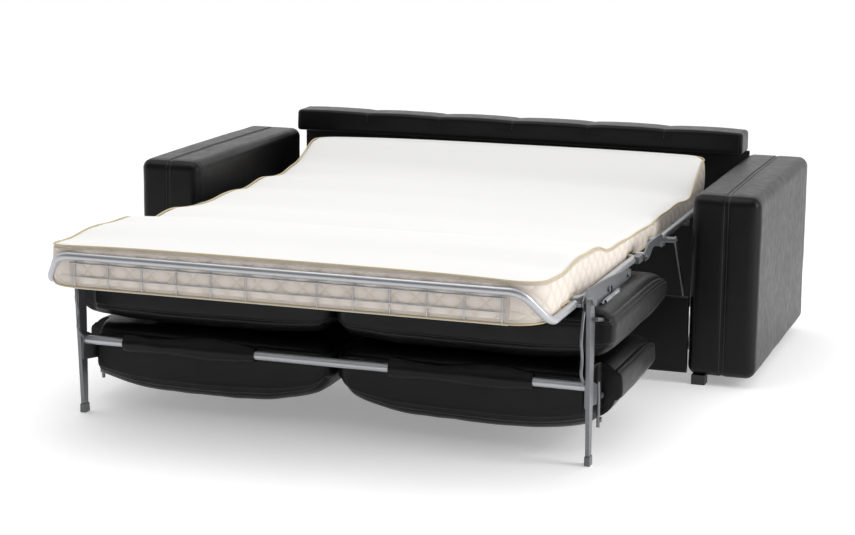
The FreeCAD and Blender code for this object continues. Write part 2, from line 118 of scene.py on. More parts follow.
class Surface:
    """A material in the making: its tree, its coordinates and the textures that it reads."""

    def __init__(self, name, colour, roughness, metallic=0.0, coat=0.0):
        self.material = bpy.data.materials.new(name)
        self.material.use_nodes = True
        self.tree = self.material.node_tree
        self.shader = self.tree.nodes["Principled BSDF"]
        self.shader.inputs["Base Color"].default_value = (*colour, 1)
        self.shader.inputs["Roughness"].default_value = roughness
        self.shader.inputs["Metallic"].default_value = metallic
        self.shader.inputs["Coat Weight"].default_value = coat
        self.coords = self.tree.nodes.new("ShaderNodeTexCoord")

    def texture(self, kind, scale, source="Object", **settings):
        node = self.tree.nodes.new(kind)
        node.inputs["Scale"].default_value = scale
        for key, value in settings.items():
            node.inputs[key].default_value = value
        self.tree.links.new(self.coords.outputs[source], node.inputs["Vector"])
        return Value(self.tree, node.outputs[0])

    def axes(self, source="UV"):
        node = self.tree.nodes.new("ShaderNodeSeparateXYZ")
        self.tree.links.new(self.coords.outputs[source], node.inputs[0])
        return [Value(self.tree, output) for output in node.outputs]

    def bump(self, height, strength, distance):
        node = self.tree.nodes.new("ShaderNodeBump")
        node.inputs["Strength"].default_value = strength
        node.inputs["Distance"].default_value = distance
        self.tree.links.new(height.socket, node.inputs["Height"])
        self.tree.links.new(node.outputs["Normal"], self.shader.inputs["Normal"])
        return self

    def rough(self, value):
        self.tree.links.new(value.socket, self.shader.inputs["Roughness"])
        return self

    def mix(self, factor, first, second):
        node = self.tree.nodes.new("ShaderNodeMix")
        node.data_type = "RGBA"
        node.inputs[6].default_value = (*first, 1)
        node.inputs[7].default_value = (*second, 1)
        self.tree.links.new(factor.socket, node.inputs[0])
        self.tree.links.new(node.outputs[2], self.shader.inputs["Base Color"])
        return self


def leather():
    surface = Surface("black_leather", (0.0045, 0.0045, 0.005), 0.4)
    surface.shader.inputs["Specular IOR Level"].default_value = 0.22
    grain = surface.texture("ShaderNodeTexVoronoi", 420)
    folds = surface.texture("ShaderNodeTexNoise", 34, Detail=4.0)
    surface.bump(grain * 0.35 + folds, 0.32, 0.0016)
    return surface.rough(folds * 0.2 + 0.26).material


def ticking():
    surface = Surface("white_ticking", (0.9, 0.895, 0.875), 0.85)
    across, along = surface.axes("Object")[:2]
    weave = (across * 2600).sine() * (along * 2600).sine()
    cloth = surface.texture("ShaderNodeTexNoise", 16, Detail=5.0)
    surface.bump(weave * 0.08 + cloth, 0.22, 0.003)
    return surface.material


def quilting():
    """Diamonds stitched in the border: two sets of slanting lines, each a soft valley, with painted shade
    darkening the colour in the valleys.
    """
    surface = Surface("quilted_border", (0.84, 0.78, 0.71), 0.78)
    along, up = surface.axes("UV")[:2]
    pitch = math.pi / 0.062
    one = ((along + up) * pitch).sine().size().power(0.45)
    two = ((along - up) * pitch).sine().size().power(0.45)
    cloth = surface.texture("ShaderNodeTexNoise", 60, Detail=4.0)
    puffs_and_painted_shade = one * two
    # Painted shade: the colour darkens from the puffs towards the stitched valleys between them.
    surface.mix(puffs_and_painted_shade, (0.74, 0.65, 0.57), (0.84, 0.765, 0.69))
    surface.bump(puffs_and_painted_shade + cloth * 0.3, 0.5, 0.005)
    return surface.material


def lacquer(name, colour, roughness, metallic):
    surface = Surface(name, colour, roughness, metallic, 0.1)
    mottle = surface.texture("ShaderNodeTexNoise", 90, Detail=3.0)
    surface.bump(surface.texture("ShaderNodeTexNoise", 420), 0.06, 0.0006)
    return surface.rough(mottle * 0.2 + (roughness - 0.1)).material


def plain(name, colour, roughness, scale, strength):
    surface = Surface(name, colour, roughness)
    surface.bump(surface.texture("ShaderNodeTexNoise", scale, Detail=3.0), strength, 0.001)
    return surface.material


FINISH = {
    "leather": leather(),
    "lining": plain("black_lining", (0.014, 0.014, 0.015), 0.8, 500, 0.4),
    "plastic": plain("black_plastic", (0.03, 0.03, 0.032), 0.5, 300, 0.2),
    "mattress": ticking(),
    "bright_steel": lacquer("silver_lacquer", (0.5, 0.51, 0.53), 0.36, 0.75),
    "grey_steel": lacquer("grey_lacquer", (0.2, 0.205, 0.215), 0.42, 0.7),
}
BORDER = quilting()
PIPING = plain("gold_piping", (0.6, 0.5, 0.31), 0.6, 700, 0.5)
THREAD = plain("black_thread", (0.05, 0.05, 0.054), 0.6, 900, 0.3)

slot_of = {row["node"]: row["material_slot"] for row in RECORD["subparts"]}
for name, node in frame["nodes"].items():
    node.data.materials.clear()
    node.data.materials.append(FINISH[slot_of[name]])
GREY_CAP = plain("grey_plastic", (0.16, 0.165, 0.17), 0.5, 300, 0.2)
for side in ("left", "right"):
    frame["nodes"][f"leg_cap_{side}"].data.materials[0] = GREY_CAP
print("finishes:", ", ".join(FINISH))

# %% [markdown]
# ## Small tools
# A mesh from lists, a tube along points, and one Geometry Nodes tree that sets a unit on each point.

# %%


def piece(name, verts, faces, materials, index=None, uvs=None, angle=40):
    mesh = bpy.data.meshes.new(name)
    mesh.from_pydata([tuple(v) for v in verts], [], [tuple(f) for f in faces])
    for material in materials:
        mesh.materials.append(material)
    if index is not None:
        mesh.polygons.foreach_set("material_index", index)
    layer = mesh.uv_layers.new(name="UVMap")
    if uvs is not None:
        layer.data.foreach_set("uv", np.array(uvs, float).ravel())
    mesh.shade_smooth()
    mesh.set_sharp_from_angle(angle=math.radians(angle))
    mesh.update()
    obj = bpy.data.objects.new(name, mesh)
    bpy.context.scene.collection.objects.link(obj)
    return obj


def tube_parts(points, radius, sides=10, start=0):
    """Vertices and faces of a round bar along points, with closed ends."""
    points = np.array(points, float)
    ways = np.gradient(points, axis=0)
    ways /= np.linalg.norm(ways, axis=1)[:, None]
    across = np.cross(ways[0], (0.3, 0.2, 0.93))
    across /= np.linalg.norm(across)
    turns = np.linspace(0, 2 * math.pi, sides, endpoint=False)
    verts = []
    for point, way in zip(points, ways):
        across = across - way * (across @ way)
        across /= np.linalg.norm(across)
        up = np.cross(way, across)
        verts += [point + radius * (math.cos(t) * across + math.sin(t) * up) for t in turns]
    faces = []
    for i in range(len(points) - 1):
        for j in range(sides):
            a, b = start + i * sides + j, start + i * sides + (j + 1) % sides
            faces.append((a, b, b + sides, a + sides))
    faces.append(tuple(start + j for j in reversed(range(sides))))
    faces.append(tuple(start + (len(points) - 1) * sides + j for j in range(sides)))
    return verts, faces


def tubes(name, paths, radius, material, sides=10):
    verts, faces = [], []
    for path in paths:
        more, sets = tube_parts(path, radius, sides, len(verts))
        verts += more
        faces += sets
    return piece(name, verts, faces, [material])


def smooth_path(points, steps=10):
    """Points on a curve through the given ones."""
    knots = np.array([points[0], *points, points[-1]], float)
    out = []
    for i in range(1, len(knots) - 2):
        a, b, c, d = knots[i - 1 : i + 3]
        for t in np.linspace(0, 1, steps, endpoint=False):
            square = (2 * a - 5 * b + 4 * c - d) * t**2
            cube = (3 * b - a - 3 * c + d) * t**3
            out.append(0.5 * (2 * b + (c - a) * t + square + cube))
    out.append(knots[-2])
    return np.array(out)


def repeat(name, points, aims, unit, material):
    """The unit set on every point with its X axis along the aim, as one real mesh."""
    holder = bpy.data.meshes.new(name + "_points")
    holder.from_pydata([tuple(p) for p in points], [], [])
    attribute = holder.attributes.new("aim", "FLOAT_VECTOR", "POINT")
    attribute.data.foreach_set("vector", np.array(aims, float).ravel())
    source = bpy.data.objects.new(name + "_points", holder)
    bpy.context.scene.collection.objects.link(source)
    tree = bpy.data.node_groups.new(name + "_repeat", "GeometryNodeTree")
    tree.interface.new_socket("Geometry", in_out="INPUT", socket_type="NodeSocketGeometry")
    tree.interface.new_socket("Geometry", in_out="OUTPUT", socket_type="NodeSocketGeometry")
    enter, leave = tree.nodes.new("NodeGroupInput"), tree.nodes.new("NodeGroupOutput")
    to_points = tree.nodes.new("GeometryNodeMeshToPoints")
    aim = tree.nodes.new("GeometryNodeInputNamedAttribute")
    aim.data_type = "FLOAT_VECTOR"
    aim.inputs["Name"].default_value = "aim"
    align = tree.nodes.new("FunctionNodeAlignRotationToVector")
    align.axis = "X"
    info = tree.nodes.new("GeometryNodeObjectInfo")
    info.inputs["Object"].default_value = unit
    place = tree.nodes.new("GeometryNodeInstanceOnPoints")
    real = tree.nodes.new("GeometryNodeRealizeInstances")
    paint = tree.nodes.new("GeometryNodeSetMaterial")
    paint.inputs["Material"].default_value = material
    link = tree.links.new
    link(enter.outputs[0], to_points.inputs[0])
    link(to_points.outputs[0], place.inputs["Points"])
    link(aim.outputs[0], align.inputs["Vector"])
    link(align.outputs[0], place.inputs["Rotation"])
    link(info.outputs["Geometry"], place.inputs["Instance"])
    link(place.outputs[0], real.inputs[0])
    link(real.outputs[0], paint.inputs[0])
    link(paint.outputs[0], leave.inputs[0])
    modifier = source.modifiers.new("repeat", "NODES")
    modifier.node_group = tree
    graph = bpy.context.evaluated_depsgraph_get()
    mesh = bpy.data.meshes.new_from_object(source.evaluated_get(graph))
    source.modifiers.remove(modifier)
    bpy.data.objects.remove(source)
    mesh.name = name
    obj = bpy.data.objects.new(name, mesh)
    bpy.context.scene.collection.objects.link(obj)
    return obj


def unit_of(points, radius, sides):
    """A short round bar kept out of the picture, for repeats."""
    unit = tubes("unit", [points], radius, THREAD, sides)
    unit.hide_render = True
    return unit


STITCH_SPACING = 0.0085
STITCH_ARCH = [(-0.0028, 0, -0.0006), (-0.0014, 0, 0.0004), (0.0014, 0, 0.0004), (0.0028, 0, -0.0006)]
STITCH = unit_of(STITCH_ARCH, 0.0007, 6)
BOLT = unit_of([(-0.001, 0, 0), (0.0035, 0, 0), (0.005, 0, 0)], 0.0085, 6)


def along_line(points, spacing):
    """Even points on a line and the way that it runs at each."""
    points = np.array(points, float)
    steps = np.linalg.norm(np.diff(points, axis=0), axis=1)
    run = np.concatenate([[0], np.cumsum(steps)])
    where = np.arange(spacing / 2, run[-1], spacing)
    out = np.stack([np.interp(where, run, points[:, k]) for k in range(3)], axis=1)
    ways = np.gradient(out, axis=0)
    return out, ways / np.linalg.norm(ways, axis=1)[:, None]


BRACKET_X, BRACKET_Y = 0.72, -0.755 + SHIFT


def stitches(name, lines, body):
    """Rows of stitches on a body; those pressed under the back cushions' brackets are left out."""
    pairs = [along_line(line, STITCH_SPACING) for line in lines]
    points = np.concatenate([p for p, w in pairs])
    aims = np.concatenate([w for p, w in pairs])
    hidden = (body == "back") & (np.abs(points[:, 0]) > BRACKET_X) & (points[:, 1] < BRACKET_Y)
    points, aims = points[~hidden], aims[~hidden]
    obj = repeat(name, points, aims, STITCH, THREAD)
    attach(obj, body)
    print(name, len(points), "stitches")


# %% [markdown]
# ## Padded boxes
# Arms, rail and cushions are boxes whose edges are rounded, whose sides swell, and whose seams sink in.

# %%


class SoftBox:
    """A box from low to high with round edges, swollen sides, seams and gentle creases."""

    def __init__(self, low, high, radius, swell, seams=(), crease=0.0015, seed=0.0, shape=None):
        self.low, self.high = np.array(low, float), np.array(high, float)
        self.middle = (self.low + self.high) / 2
        self.half = (self.high - self.low) / 2
        self.radius = radius
        self.swell = swell
        self.seams = seams
        self.crease = crease
        self.seed = seed
        self.shape = shape

    def surface(self, u):
        """Points in -1..1 on the flat box's skin, taken to the padded one."""
        u = np.array(u, float)
        flat = self.middle + u * self.half
        inner = np.clip(flat, self.low + self.radius, self.high - self.radius)
        out = flat - inner
        far = np.linalg.norm(out, axis=1)[:, None]
        normal = out / np.maximum(far, 1e-9)
        room = np.clip(1 - u**2, 0, 1) ** 0.6
        belly = np.stack([room[:, 1] * room[:, 2], room[:, 0] * room[:, 2], room[:, 0] * room[:, 1]], axis=1)
        rise = (np.abs(normal) * np.array(self.swell) * belly).sum(axis=1)
        point = inner + normal * self.radius
        for axis, place, side, depth, width in self.seams:
            facing = np.clip(1.6 - 2.2 * np.abs(normal[:, axis]), 0, 1)
            if side is not None:
                facing = facing * np.clip(normal @ np.array(side) * 4, 0, 1)
            rise = rise - depth * facing * np.exp(-(((point[:, axis] - place) / width) ** 2))
        if self.crease:
            rough = [
                noise.noise(Vector(p) * 5 + Vector((self.seed, 0, 0)))
                + 0.5 * noise.noise(Vector((p[0] * 17, p[1] * 9, p[2] * 17 + self.seed)))
                for p in point
            ]
            rise = rise + self.crease * np.array(rough)
        point = point + normal * rise[:, None]
        if self.shape is not None:
            point = self.shape(point, u)
        return point

    def build(self, name, cells, material):
        index, keys, faces = {}, [], []

        def vert(key):
            if key not in index:
                index[key] = len(keys)
                keys.append(key)
            return index[key]

        for axis in range(3):
            one, two = (axis + 1) % 3, (axis + 2) % 3
            for end in (0, cells[axis]):
                for i in range(cells[one]):
                    for j in range(cells[two]):
                        quad = []
                        for di, dj in ((0, 0), (1, 0), (1, 1), (0, 1)):
                            key = [0, 0, 0]
                            key[axis], key[one], key[two] = end, i + di, j + dj
                            quad.append(vert(tuple(key)))
                        faces.append(quad if end else quad[::-1])
        t = 2 * np.array(keys, float) / np.array(cells, float) - 1
        u = 0.45 * t + 0.55 * np.sin(t * math.pi / 2)
        points = self.surface(u)
        return piece(name, points, faces, [material], angle=80)

    def line(self, *corners):
        """A line on the padded skin through corners given in -1..1."""
        path = []
        for a, b in zip(corners, corners[1:]):
            a, b = np.array(a), np.array(b)
            path += [a + (b - a) * t for t in np.linspace(0, 1, 60, endpoint=False)]
        path.append(np.array(corners[-1], float))
        return self.surface(path)


LEATHER = FINISH["leather"]
for side, sign in (("left", -1), ("right", 1)):
    low = [min(sign * 0.8145, sign * 1.0225), 0.001 + SHIFT, 0.03]
    high = [max(sign * 0.8145, sign * 1.0225), 0.889 + SHIFT, 0.589]
    seam_x = sign * 0.921
    seams = [
        (0, seam_x, None, 0.0035, 0.004),
        (1, 0.03 + SHIFT, (0, 0, 1), 0.002, 0.004),
    ]
    arm = SoftBox(low, high, 0.03, (0.001, 0.004, 0.004), seams, 0.0016, 3.0 * sign)
    obj = arm.build(f"padded_arm_{side}", (44, 90, 64), LEATHER)
    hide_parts(f"arm_{side}")
    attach(obj, "root")
    lines = []
    for offset in (-0.0065, 0.0065):
        x = (seam_x + offset - arm.middle[0]) / arm.half[0]
        lines.append(arm.line((x, -1, -0.95), (x, -1, 1), (x, 1, 1), (x, 1, -0.95)))
    stitches(f"arm_stitches_{side}", lines, "root")

# %% [markdown]
# The back rail has six sewn segments. They swell between the seams, which a cosine along X gives.

# %%
RAIL_HALF = 0.808
SEGMENT = 2 * RAIL_HALF / 6


def segments(point, u):
    place = (point[:, 0] + RAIL_HALF) / SEGMENT
    puff = np.abs(np.sin(np.pi * place)) ** 0.5
    upper = np.clip((point[:, 2] - 0.62) / 0.03, 0, 1)
    point = point.copy()
    point[:, 2] += (puff - 1) * 0.005 * upper
    point[:, 1] += (puff - 1) * 0.003 * upper * np.sign(point[:, 1] - 0.88 - SHIFT)
    return point


rail = SoftBox(
    (-RAIL_HALF, 0.823 + SHIFT, 0.59), (RAIL_HALF, 0.9375 + SHIFT, 0.666), 0.011, (0, 0.002, 0.002),
    crease=0.001, seed=9.0, shape=segments,
)
obj = rail.build("padded_back_rail", (200, 18, 14), LEATHER)
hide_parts("back_rail")
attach(obj, "root")
lines = []
for i in range(1, 6):
    x = 2 * i / 6 - 1
    lines.append(rail.line((x, -1, 0.2), (x, -1, 1), (x, 1, 1), (x, 1, 0.2)))
for x in (-0.985, 0.985):
    lines.append(rail.line((x, -1, -0.9), (x, -1, 1), (x, 1, 1), (x, 1, -0.9)))
stitches("rail_stitches", lines, "root")

# %% [markdown]
# ## Cushions
# They hang upside down under the bed. Each has a boxed border between two seams with double stitches,
# and the lower pair sags into lobes.

# %%


def sagging(amount, nose, notch):
    def shape(point, u):
        point = point.copy()
        lower = np.clip(0.5 - u[:, 2] / 2, 0, 1)
        ends = np.abs(u[:, 0]) ** 3.5
        point[:, 2] += amount * lower * ends
        front = np.clip(u[:, 1], 0, 1) ** 4
        point[:, 2] -= nose * front * u[:, 2]
        outer = np.clip((np.abs(point[:, 0]) - 0.727) / 0.012, 0, 1)
        point[:, 1] += outer * np.clip(notch + SHIFT - point[:, 1], 0, None) * 0.92
        return point

    return shape


def cushion(name, node, body, low, high, radius, swell, sag, nose, notch, seed):
    box = SoftBox(
        low, high, radius, swell,
        [(2, low[2] + 0.032, None, 0.004, 0.005), (2, high[2] - 0.032, None, 0.004, 0.005)],
        0.004, seed, sagging(sag, nose, notch),
    )
    obj = box.build(name, (110, 72, 28), LEATHER)
    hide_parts(node)
    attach(obj, body)
    lines = []
    for place in (low[2] + 0.032, high[2] - 0.032):
        for offset in (-0.006, 0.006):
            z = (place + offset - box.middle[2]) / box.half[2]
            lines.append(box.line((-1, -1, z), (1, -1, z), (1, 1, z), (-1, 1, z), (-1, -1, z)))
    stitches(name + "_stitches", lines, body)


for side, x0, x1, seed in (("left", -0.799, -0.004, 1.5), ("right", 0.004, 0.799, 7.5)):
    cushion(
        f"padded_seat_cushion_{side}", f"seat_cushion_{side}", "seat",
        (x0, -0.882 + SHIFT, 0.270), (x1, -0.212 + SHIFT, 0.411),
        radius=0.05, swell=(0.004, 0.004, 0.008), sag=0.02, nose=0.028, notch=-0.86, seed=seed,
    )
    cushion(
        f"padded_back_cushion_{side}", f"back_cushion_{side}", "back",
        (x0, -0.877 + SHIFT, 0.066), (x1, -0.318 + SHIFT, 0.246),
        radius=0.06, swell=(0.004, 0.004, 0.012), sag=0.062, nose=0.034, notch=-0.765, seed=seed + 3,
    )

# %% [markdown]
# ## Mattress
# Its side profile comes from heights along the bed. Three pieces meet over the knee links and over the seat
# frame.

# %%
# Places along the bed and heights of the top edge, from the head to the foot. Most on the right were
# worked out through the fitted camera from places in the photograph; those on the left are drawn freely.
RIGHT_TOP = [
    (0.774, 0.583), (0.714, 0.583), (0.62, 0.54), (0.527, 0.489), (0.40, 0.497),
    (0.159, 0.503), (-0.171, 0.501), (-0.355, 0.508), (-0.53, 0.519), (-0.698, 0.548),
    (-0.854, 0.553), (-1.002, 0.546), (-1.144, 0.548), (-1.236, 0.553),
]
LEFT_TOP = [
    (0.774, 0.578), (0.70, 0.576), (0.56, 0.520), (0.43, 0.500), (0.25, 0.512),
    (0.10, 0.497), (-0.08, 0.508), (-0.25, 0.500), (-0.42, 0.520), (-0.56, 0.512),
    (-0.72, 0.546), (-0.90, 0.552), (-1.05, 0.546), (-1.236, 0.553),
]
HALF = 0.698
FOOT_END = -1.222
HEAD_END = 0.774
FOOT_CORNER, HEAD_CORNER = 0.085, 0.05


def height_on(table, y):
    ys, zs = zip(*reversed(table))
    grid = np.linspace(ys[0], ys[-1], 400)
    values = np.interp(grid, ys, zs)
    kernel = np.hanning(21)
    smooth = np.convolve(np.pad(values, 10, mode="edge"), kernel / kernel.sum(), mode="valid")
    return np.interp(y, grid, smooth)


def mattress_top(x, y):
    """Height of the top at x, y in the drawing frame."""
    share = (x / HALF + 1) / 2
    edge = height_on(LEFT_TOP, y) * (1 - share) + height_on(RIGHT_TOP, y) * share
    crown = 0.010 * np.clip(1 - (x / HALF) ** 4, 0, 1)
    valley = 0.012 * np.exp(-(((y + 0.585) / 0.035) ** 2)) * (0.55 + 0.45 * np.sin(4 * x + 1))
    ripple = 0.004 * np.sin(19 * y + 3 * x) * np.sin(7 * y - 1) * np.abs(x / HALF) ** 3
    return edge + crown - valley + ripple


def mattress_low(x, y):
    """Height of the underside: on the nets inside the frames, over the tubes at the folds."""
    over = np.zeros_like(y)
    for middle, flat in ((-0.058, 0.014), (-0.298, 0.038)):
        over = np.maximum(over, np.clip(1 - (np.abs(y - middle) - flat) / 0.03, 0, 1))
    over = np.maximum(over, np.clip((y - 0.70) / 0.03, 0, 1))
    over = np.maximum(over, np.clip((-0.885 - y) / 0.03, 0, 1))
    over = over * (0.4 + 0.6 * np.clip((y + 1.060) / 0.03, 0, 1))
    between = 0.35 * ((y < -0.08) & (y > -0.302))
    over = np.maximum(over, between)
    return 0.4285 + 0.034 * over - 0.008 * ((y < -0.97) & (y > -1.03))


def half_width(y):
    inset = np.zeros_like(y)
    for end, sign, radius in ((FOOT_END, -1, FOOT_CORNER), (HEAD_END, 1, HEAD_CORNER)):
        d = np.clip(radius - sign * (end - y), 0, radius)
        inset = np.maximum(inset, radius - np.sqrt(np.clip(radius**2 - d**2, 0, None)))
    return HALF - inset


def end_bulge(x, level):
    """How far the foot end swells out through the net between its wires."""
    between = np.abs(np.sin(math.pi * x / 0.1))
    return (0.004 + 0.007 * between**0.7) * np.sin(math.pi * np.clip(level, 0, 1)) ** 0.7


ROWS = 9
ACROSS = 84


def stations(y0, y1):
    count = max(8, int(abs(y1 - y0) / 0.008))
    ys = np.linspace(y0, y1, count)
    for end, sign in ((FOOT_END, 1), (HEAD_END, -1)):
        if min(abs(ys - end)) < 1e-6:
            turn = np.linspace(0, math.pi / 2, 16)
            ys = np.concatenate([ys, end + sign * FOOT_CORNER * (1 - np.sin(turn))])
    return np.unique(np.round(ys, 5))


def mattress_piece(name, y0, y1):
    ys = stations(y0, y1)
    cross = np.linspace(-1, 1, ACROSS + 1)
    ring = 2 * (ACROSS + 1) + 2 * (ROWS - 1)
    verts, uvs_of = [], []
    levels = np.arange(1, ROWS) / ROWS

    def wall(x, y, out_x, out_y, level, run):
        top, low = mattress_top(x, y), mattress_low(x, y)
        swell = 0.006 * math.sin(math.pi * level) ** 0.6
        z = low + (top - low) * level
        verts.append((x + out_x * swell, y + out_y * swell + SHIFT, z))
        uvs_of.append((run, z))

    for y in ys:
        hw = float(half_width(np.array([y]))[0])
        xs = cross * hw
        for x in xs:
            edge = max(0.0, (abs(x) - hw + 0.014) / 0.014)
            verts.append((x, y + SHIFT, float(mattress_top(x, y)) - 0.007 * edge**2))
            uvs_of.append((x, y))
        for level in levels[::-1]:
            wall(hw, np.array(y), 1, 0, level, y)
        for x in xs[::-1]:
            verts.append((x, y + SHIFT, float(mattress_low(x, np.array(y)))))
            uvs_of.append((x, y))
        for level in levels:
            wall(-hw, np.array(y), -1, 0, level, -y)
    faces, index = [], []
    for i in range(len(ys) - 1):
        for j in range(ring):
            k = (j + 1) % ring
            faces.append((i * ring + j, (i + 1) * ring + j, (i + 1) * ring + k, i * ring + k)[::-1])
            on_top = j < ACROSS
            on_base = ACROSS + ROWS <= j < 2 * ACROSS + ROWS
            index.append(0 if on_top or on_base else 1)
    for i, outward in ((0, -1), (len(ys) - 1, 1)):
        y = ys[i]
        real_end = abs(y - FOOT_END) < 1e-4 or abs(y - HEAD_END) < 1e-4
        hw = float(half_width(np.array([y]))[0])
        grid = {}
        for a in range(ACROSS + 1):
            grid[a, ROWS] = i * ring + a
            grid[a, 0] = i * ring + ACROSS + ROWS + (ACROSS - a)
        for r in range(1, ROWS):
            grid[ACROSS, r] = i * ring + ACROSS + (ROWS - r)
            grid[0, r] = i * ring + 2 * ACROSS + ROWS + r
            for a in range(1, ACROSS):
                x = cross[a] * hw
                top, low = float(mattress_top(x, y)), float(mattress_low(x, np.array(y)))
                push = 0.0
                if real_end:
                    push = float(end_bulge(x, r / ROWS)) * outward if outward < 0 else 0.005
                grid[a, r] = len(verts)
                verts.append((x, y + push + SHIFT, low + (top - low) * r / ROWS))
                uvs_of.append((x, low + (top - low) * r / ROWS))
        for a in range(ACROSS):
            for r in range(ROWS):
                quad = (grid[a, r], grid[a + 1, r], grid[a + 1, r + 1], grid[a, r + 1])
                faces.append(quad if outward < 0 else quad[::-1])
                index.append(1)
    corner_uvs = [uvs_of[v] for face in faces for v in face]
    obj = piece(name, verts, faces, [FINISH["mattress"], BORDER], index, corner_uvs, 50)
    return obj, ys


def edging(name, ys, level):
    """Piping along the sides, and round the end where the piece has one."""

    def cord_height(x, y):
        top, low = float(mattress_top(x, y)), float(mattress_low(x, np.array(y)))
        return low + (top - low) * level - 0.003 * level

    sides = []
    for sign in (-1, 1):
        line = []
        for y in ys:
            x = sign * float(half_width(np.array([y]))[0])
            line.append((x + sign * 0.001, y + SHIFT, cord_height(x, y)))
        sides.append(line)
    left, right = sides
    paths = [left, right]
    foot, head = abs(ys[0] - FOOT_END) < 1e-4, abs(ys[-1] - HEAD_END) < 1e-4
    for has_end, i, outward in ((foot, 0, -0.001), (head, -1, 0.001)):
        if has_end:
            x0, x1, y = left[i][0], right[i][0], ys[i]
            bridge = []
            for t in np.linspace(0, 1, 90)[1:-1]:
                x = x0 + (x1 - x0) * t
                bridge.append((x, y + SHIFT + outward, cord_height(x, y)))
            round_foot = left[::-1] + bridge + right
            round_head = left + bridge + right[::-1]
            paths = [round_foot if i == 0 else round_head]
    return tubes(name, paths, 0.0027, PIPING, 8)


MID_KNEE, MID_SEAT = -0.191, -0.59
PARTS = [
    ("mattress_upper", MID_KNEE, HEAD_END, "head", "knee", -0.08, ("mattress_head", "mattress_knee")),
    ("mattress_middle", MID_SEAT, MID_KNEE, "knee", "seat", -0.302, ("mattress_knee", "mattress_seat")),
    ("mattress_lower", FOOT_END, MID_SEAT, "seat", "foot", -0.956, ("mattress_seat", "mattress_foot")),
]
for name, y0, y1, body_a, body_b, fold, nodes in PARTS:
    obj, ys = mattress_piece(name, y0, y1)
    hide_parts(*nodes)
    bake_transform(obj)
    for level, place in ((1.0, "top"), (0.0, "base")):
        cord = edging(f"{name}_{place}_piping", ys, level)
        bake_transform(cord)
print("mattress in", len(PARTS), "pieces")

# %% [markdown]
# ## Foot net
# Twelve upright wires hang from the foot rail and curl in under the mattress; four cross wires tie them.

# %%
RAIL_Y, RAIL_LOW = -1.229 + SHIFT, 0.518
NET_WIRE = 0.0019
wire_path = smooth_path(
    [(0, RAIL_Y, RAIL_LOW), (0, RAIL_Y - 0.002, 0.48), (0, RAIL_Y - 0.001, 0.452),
     (0, RAIL_Y + 0.012, 0.4425), (0, RAIL_Y + 0.05, 0.442), (0, RAIL_Y + 0.11, 0.4355),
     (0, -1.010 + SHIFT, 0.4345)], 8
)
upright = tubes("unit_wire", [wire_path], NET_WIRE, FINISH["bright_steel"], 8)
upright.hide_render = True
places = [(x / 10, 0, 0) for x in range(-6, 7) if x]
uprights = repeat("foot_net_uprights", places, [(1, 0, 0)] * len(places), upright, FINISH["bright_steel"])
crossings = []
for z, back in ((0.510, -0.004), (0.474, -0.0055), (0.4385, 0.012)):
    crossings.append([(x, RAIL_Y + back, z) for x in np.linspace(-0.612, 0.612, 60)])
crossings.append([(x, RAIL_Y + 0.11, 0.432) for x in np.linspace(-0.66, 0.66, 30)])
cross_wires = tubes("foot_net_crossings", crossings, NET_WIRE, FINISH["bright_steel"], 8)
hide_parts("foot_net")
for obj in (uprights, cross_wires):
    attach(obj, "foot")

# %% [markdown]
# ## Leather sleeves on the cross tube
# Wide flaps of the cushion covers wrap the tube, so each ring is a little uneven.

# %%
TUBE_Y, TUBE_Z = -0.916 + SHIFT, 0.216
for side, x0, x1, seed in (("left", -0.618, -0.212, 2.0), ("right", 0.186, 0.595, 5.0)):
    verts, faces = [], []
    count, sides = 70, 28
    for i in range(count):
        x = x0 + (x1 - x0) * i / (count - 1)
        rim = min(i, count - 1 - i)
        for j in range(sides):
            t = 2 * math.pi * j / sides
            wobble = 0.0015 * noise.noise(Vector((x * 16, math.cos(t) * 1.3 + seed, math.sin(t) * 1.3)))
            r = 0.0195 + wobble - 0.003 * math.exp(-rim / 1.5)
            wave = 0.6 + 0.4 * math.sin(x * 19 + seed)
            up = 0.016 * wave * max(0.0, math.sin(t)) ** 2
            rear = 0.004 * max(0.0, math.cos(t)) ** 2
            hang = 0.009 * wave * max(0.0, -math.sin(t)) ** 2
            y = TUBE_Y + r * math.cos(t) + rear + up * 0.5
            verts.append((x, y, TUBE_Z + r * math.sin(t) + up - hang))
    for i in range(count - 1):
        for j in range(sides):
            a, b = i * sides + j, i * sides + (j + 1) % sides
            faces.append((a, b, b + sides, a + sides)[::-1])
    faces.append(tuple(range(sides)))
    faces.append(tuple((count - 1) * sides + j for j in reversed(range(sides))))
    sleeve = piece(f"leather_sleeve_{side}", verts, faces, [LEATHER], angle=60)
    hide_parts(f"tube_sleeve_{side}")
    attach(sleeve, "legs")

# %% [markdown]
# ## Small steel parts
# Bolt heads on the pivots, the leg springs, and the bent rods beside the legs.

# %%
BOLTS = {
    "head": [(0.7545, 0.033, 0.440)],
    "knee": [(0.7485, -0.080, 0.450), (0.7485, -0.302, 0.450)],
    "seat": [(0.7600, -0.933, 0.448), (0.7375, -0.690, 0.434), (0.7375, -0.470, 0.431)],
    "legs": [(0.7445, -0.885, 0.203)],
    "back": [(0.7500, -0.793, 0.162), (0.7500, -0.800, 0.096)],
}
for body, spots in BOLTS.items():
    points, aims = [], []
    for sign in (-1, 1):
        for x, y, z in spots:
            points.append((sign * x, y + SHIFT, z))
            aims.append((sign, 0, 0))
    obj = repeat(f"bolts_{body}", points, aims, BOLT, FINISH["grey_steel"])
    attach(obj, body)



def at_side(x, places):
    """Points at one x from pairs of place along the bed and height."""
    return [(x, y + SHIFT, z) for y, z in places]


